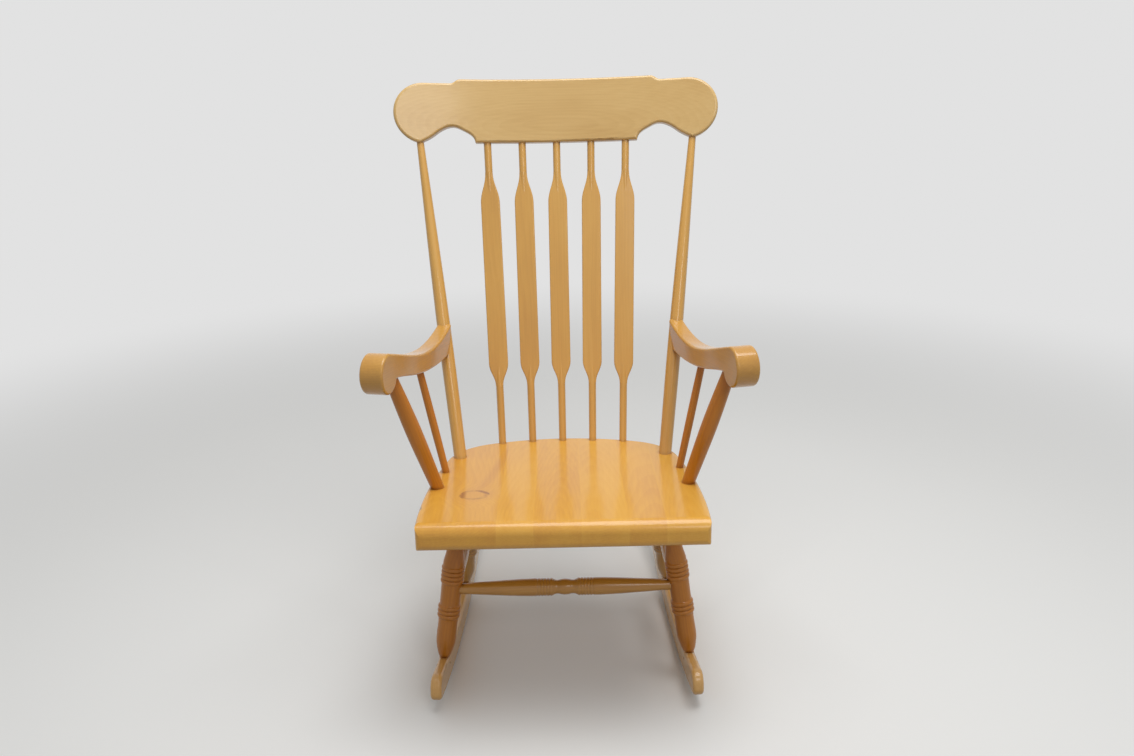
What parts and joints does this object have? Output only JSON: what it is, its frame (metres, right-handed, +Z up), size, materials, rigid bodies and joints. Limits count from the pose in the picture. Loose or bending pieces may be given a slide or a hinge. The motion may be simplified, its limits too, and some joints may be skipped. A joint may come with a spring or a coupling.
{
  "type": "rocking chair",
  "caption": "Wooden rocking chair with a plank seat, arrow-shaped back spindles, a shaped crest rail, scrolled arms and turned legs on curved rockers.",
  "frame": {"origin": "bottom centre of the whole chair's bounding box, on the floor", "axes": "+Z up, -Y is the way the chair faces, +X to the right of someone who looks at its front"},
  "size_m": [0.662, 0.754, 1.1106],
  "materials": {
    "seat_wood": "glued-up pale hardwood plank under glossy amber lacquer, board joints and one knot pair faintly visible",
    "crest_wood": "pale hardwood with long fine grain under clear amber lacquer",
    "spindle_wood": "pale turned and flattened hardwood under amber lacquer, grain along the stick",
    "arm_wood": "sawn and sanded hardwood under amber lacquer, lighter end grain on the scroll",
    "turned_wood": "turned hardwood in a deeper orange-brown lacquer",
    "stretcher_wood": "turned hardwood under honey-coloured lacquer",
    "rocker_wood": "light tan bent hardwood, glossy, worn a little paler on the top edges",
    "plug_wood": "end-grain hardwood plugs",
    "steel": "plain steel wood screws and pins"
  },
  "bodies": {
    "root": {"arm_left": "arm_wood", "arm_right": "arm_wood", "arm_screw_plugs": "plug_wood", "arm_screws": "steel", "arm_spindle_left": "turned_wood", "arm_spindle_right": "turned_wood", "back_post_left": "spindle_wood", "back_post_right": "spindle_wood", "back_spindle_1": "spindle_wood", "back_spindle_2": "spindle_wood", "back_spindle_3": "spindle_wood", "back_spindle_4": "spindle_wood", "back_spindle_5": "spindle_wood", "crest_pins": "steel", "crest_rail": "crest_wood", "front_arm_post_left": "turned_wood", "front_arm_post_right": "turned_wood", "front_leg_left": "turned_wood", "front_leg_right": "turned_wood", "front_stretcher": "stretcher_wood", "rear_leg_left": "turned_wood", "rear_leg_right": "turned_wood", "rear_stretcher": "stretcher_wood", "rocker_left": "rocker_wood", "rocker_pegs": "plug_wood", "rocker_right": "rocker_wood", "seat_board_1": "seat_wood", "seat_board_2": "seat_wood", "seat_board_3": "seat_wood", "seat_board_4": "seat_wood", "seat_board_5": "seat_wood", "seat_board_6": "seat_wood", "side_stretcher_left": "stretcher_wood", "side_stretcher_right": "stretcher_wood"}
  },
  "joints": []
}
